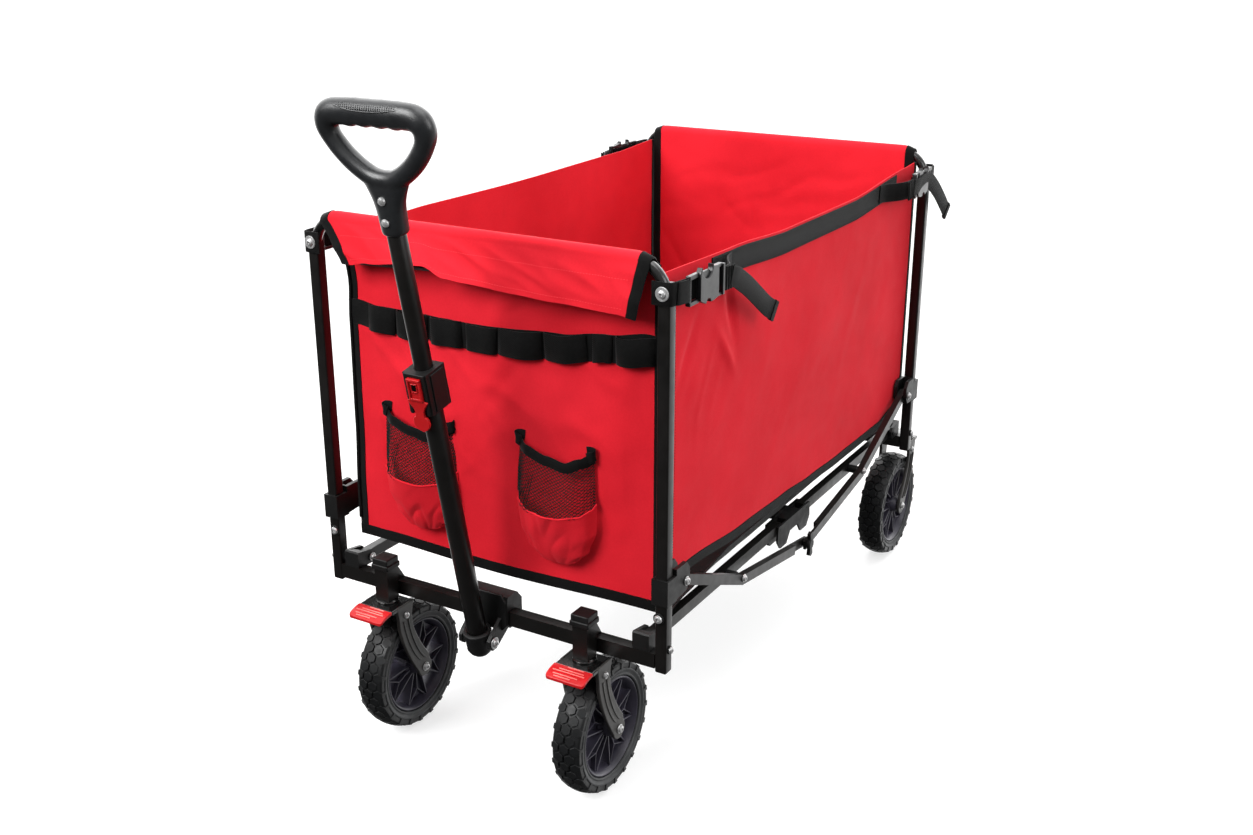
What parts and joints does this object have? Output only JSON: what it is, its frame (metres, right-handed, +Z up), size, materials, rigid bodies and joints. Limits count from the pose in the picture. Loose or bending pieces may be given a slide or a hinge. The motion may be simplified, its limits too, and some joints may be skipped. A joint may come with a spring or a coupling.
{
  "type": "folding wagon with a pull handle",
  "caption": "Folding fabric-sided wagon on swivelling front and fixed rear wheels, with a telescopic pull handle and a scissor-linked frame.",
  "frame": {"origin": "on the ground plane, under the middle of the whole wagon's bounding box, handle included", "axes": "+X to the wagon's right seen from behind its handle end looking along +Y, +Y from the handle end to the rear, +Z up"},
  "size_m": [0.562, 1.1867, 0.9149],
  "materials": {
    "steel_black": "satin powder coat",
    "plastic_black": "moulded, fine grain",
    "grip_black": "semi-gloss moulded",
    "plastic_red": "moulded",
    "fabric_red": "woven polyester, coated",
    "fabric_black": "woven polyester",
    "tyre": "matte, block tread",
    "hub_grey": "moulded",
    "zinc": "zinc plated"
  },
  "bodies": {
    "front_frame": {"front_hoop": "steel_black", "front_crossbar": "steel_black", "floor_bracket_front_right": "plastic_black", "floor_bracket_front_left": "plastic_black", "handle_bracket": "plastic_black", "handle_pivot_bolt": "zinc", "front_wall": "fabric_red", "side_wall_right": "fabric_red", "side_wall_left": "fabric_red", "pocket_right": "fabric_red", "pocket_left": "fabric_red", "buckle_front_right": "plastic_black", "buckle_front_left": "plastic_black"},
    "rear_frame": {"rear_hoop": "steel_black", "rear_crossbar": "steel_black", "floor_bracket_rear_right": "plastic_black", "floor_bracket_rear_left": "plastic_black", "rear_fork_right": "steel_black", "rear_fork_left": "steel_black", "rear_axle_right": "zinc", "rear_axle_left": "zinc", "rear_wall": "fabric_red", "buckle_rear_right": "plastic_black", "buckle_rear_left": "plastic_black"},
    "floor_front": {"floor_bar_front_right": "steel_black", "floor_bar_front_left": "steel_black", "floor_board_front": "fabric_black"},
    "floor_middle": {"floor_hub": "plastic_black"},
    "floor_rear": {"floor_bar_rear_right": "steel_black", "floor_bar_rear_left": "steel_black", "floor_board_rear": "fabric_black"},
    "sliders_front": {"slider_front_right": "plastic_black", "slider_front_left": "plastic_black"},
    "sliders_rear": {"slider_rear_right": "plastic_black", "slider_rear_left": "plastic_black"},
    "links_front": {"link_front_right": "steel_black", "link_front_left": "steel_black"},
    "links_rear": {"link_rear_right": "steel_black", "link_rear_left": "steel_black"},
    "handle": {"handle_socket": "plastic_black", "handle_outer_tube": "steel_black", "latch_collar": "plastic_black"},
    "handle_extension": {"handle_inner_tube": "steel_black", "handle_grip": "grip_black"},
    "latch": {"latch_lever": "plastic_red"},
    "caster_right": {"caster_fork_right": "steel_black", "caster_axle_right": "zinc"},
    "caster_wheel_right": {"caster_tyre_right": "tyre", "caster_hub_right": "hub_grey"},
    "brake_right": {"brake_pedal_right": "plastic_red"},
    "rear_wheel_right": {"rear_tyre_right": "tyre", "rear_hub_right": "hub_grey"},
    "caster_left": {"caster_fork_left": "steel_black", "caster_axle_left": "zinc"},
    "caster_wheel_left": {"caster_tyre_left": "tyre", "caster_hub_left": "hub_grey"},
    "brake_left": {"brake_pedal_left": "plastic_red"},
    "rear_wheel_left": {"rear_tyre_left": "tyre", "rear_hub_left": "hub_grey"}
  },
  "joints": [
    {"name": "fold", "type": "hinge", "parent": "front_frame", "child": "floor_front", "pos_m": [0, -0.3767, 0.24], "axis": [1, 0, 0], "range_deg": [0, 80]},
    {"name": "hub_fold", "type": "hinge", "parent": "floor_front", "child": "floor_middle", "pos_m": [0, -0.0047, 0.24], "axis": [1, 0, 0], "range_deg": [-80, 0]},
    {"name": "rear_floor_fold", "type": "hinge", "parent": "floor_middle", "child": "floor_rear", "pos_m": [0, 0.0913, 0.24], "axis": [1, 0, 0], "range_deg": [-80, 0]},
    {"name": "rear_frame_fold", "type": "hinge", "parent": "floor_rear", "child": "rear_frame", "pos_m": [0, 0.4633, 0.24], "axis": [1, 0, 0], "range_deg": [0, 80]},
    {"name": "front_slide", "type": "slide", "parent": "front_frame", "child": "sliders_front", "axis": [0, 0, 1], "range_m": [0, 0.312]},
    {"name": "rear_slide", "type": "slide", "parent": "rear_frame", "child": "sliders_rear", "axis": [0, 0, 1], "range_m": [0, 0.312]},
    {"name": "front_link_turn", "type": "hinge", "parent": "sliders_front", "child": "links_front", "pos_m": [0, -0.3607, 0.319], "axis": [1, 0, 0], "range_deg": [-61.2, 0]},
    {"name": "rear_link_turn", "type": "hinge", "parent": "sliders_rear", "child": "links_rear", "pos_m": [0, 0.4473, 0.319], "axis": [1, 0, 0], "range_deg": [0, 61.2]},
    {"name": "handle_tilt", "type": "hinge", "parent": "front_frame", "child": "handle", "pos_m": [0, -0.4273, 0.195], "axis": [1, 0, 0], "range_deg": [-12, 75]},
    {"name": "handle_extend", "type": "slide", "parent": "handle", "child": "handle_extension", "axis": [0, -0.2079, 0.9781], "range_m": [-0.165, 0]},
    {"name": "latch_press", "type": "hinge", "parent": "handle", "child": "latch", "pos_m": [0, -0.5319, 0.5848], "axis": [1, 0, 0], "range_deg": [-18, 0], "stiffness_Nm_per_rad": 0.3},
    {"name": "caster_swivel_right", "type": "hinge", "parent": "front_frame", "child": "caster_right", "pos_m": [0.159, -0.4187, 0.206], "axis": [0, 0, 1], "continuous": true},
    {"name": "caster_spin_right", "type": "hinge", "parent": "caster_right", "child": "caster_wheel_right", "pos_m": [0.159, -0.3807, 0.092], "axis": [1, 0, 0], "continuous": true},
    {"name": "brake_press_right", "type": "hinge", "parent": "caster_right", "child": "brake_right", "pos_m": [0.159, -0.4452, 0.203], "axis": [1, 0, 0], "range_deg": [0, 12]},
    {"name": "rear_spin_right", "type": "hinge", "parent": "rear_frame", "child": "rear_wheel_right", "pos_m": [0.228, 0.5013, 0.092], "axis": [1, 0, 0], "continuous": true},
    {"name": "caster_swivel_left", "type": "hinge", "parent": "front_frame", "child": "caster_left", "pos_m": [-0.159, -0.4187, 0.206], "axis": [0, 0, 1], "continuous": true},
    {"name": "caster_spin_left", "type": "hinge", "parent": "caster_left", "child": "caster_wheel_left", "pos_m": [-0.159, -0.3807, 0.092], "axis": [1, 0, 0], "continuous": true},
    {"name": "brake_press_left", "type": "hinge", "parent": "caster_left", "child": "brake_left", "pos_m": [-0.159, -0.4452, 0.203], "axis": [1, 0, 0], "range_deg": [0, 12]},
    {"name": "rear_spin_left", "type": "hinge", "parent": "rear_frame", "child": "rear_wheel_left", "pos_m": [-0.228, 0.5013, 0.092], "axis": [1, 0, 0], "continuous": true}
  ],
  "couplings": [
    {"joint": "hub_fold", "follows": "fold", "ratio": -1},
    {"joint": "rear_floor_fold", "follows": "fold", "ratio": -1},
    {"joint": "rear_frame_fold", "follows": "fold", "ratio": 1},
    {"joint": "front_slide", "follows": "fold", "m_per_rad": 0.2232},
    {"joint": "rear_slide", "follows": "fold", "m_per_rad": 0.2232},
    {"joint": "front_link_turn", "follows": "fold", "ratio": -0.764},
    {"joint": "rear_link_turn", "follows": "fold", "ratio": 0.764}
  ]
}
